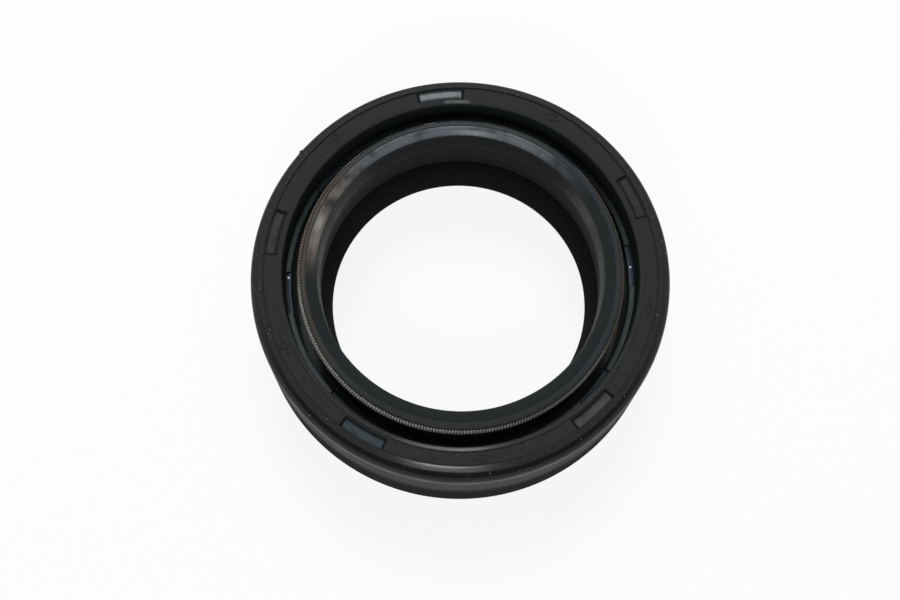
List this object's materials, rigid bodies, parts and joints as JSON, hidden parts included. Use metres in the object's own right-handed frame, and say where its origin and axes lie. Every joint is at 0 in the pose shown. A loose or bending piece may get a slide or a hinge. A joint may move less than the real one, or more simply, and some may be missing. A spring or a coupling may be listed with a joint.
{
  "type": "radial shaft seal",
  "caption": "Rubber-covered radial shaft seal with a steel case inside, a spring-loaded sealing lip and a dust lip.",
  "frame": {"origin": "on the seal's axis, at its back face", "axes": "+Z along the axis towards the spring side; one pocket of the face lies 27.7 degrees from +X towards +Y"},
  "size_m": [0.037, 0.037, 0.011],
  "materials": {
    "rubber": "matte",
    "case_steel": "satin",
    "spring_steel": "satin"
  },
  "bodies": {
    "root": {"elastomer_body": "rubber", "steel_case": "case_steel", "garter_spring": "spring_steel"}
  },
  "joints": []
}
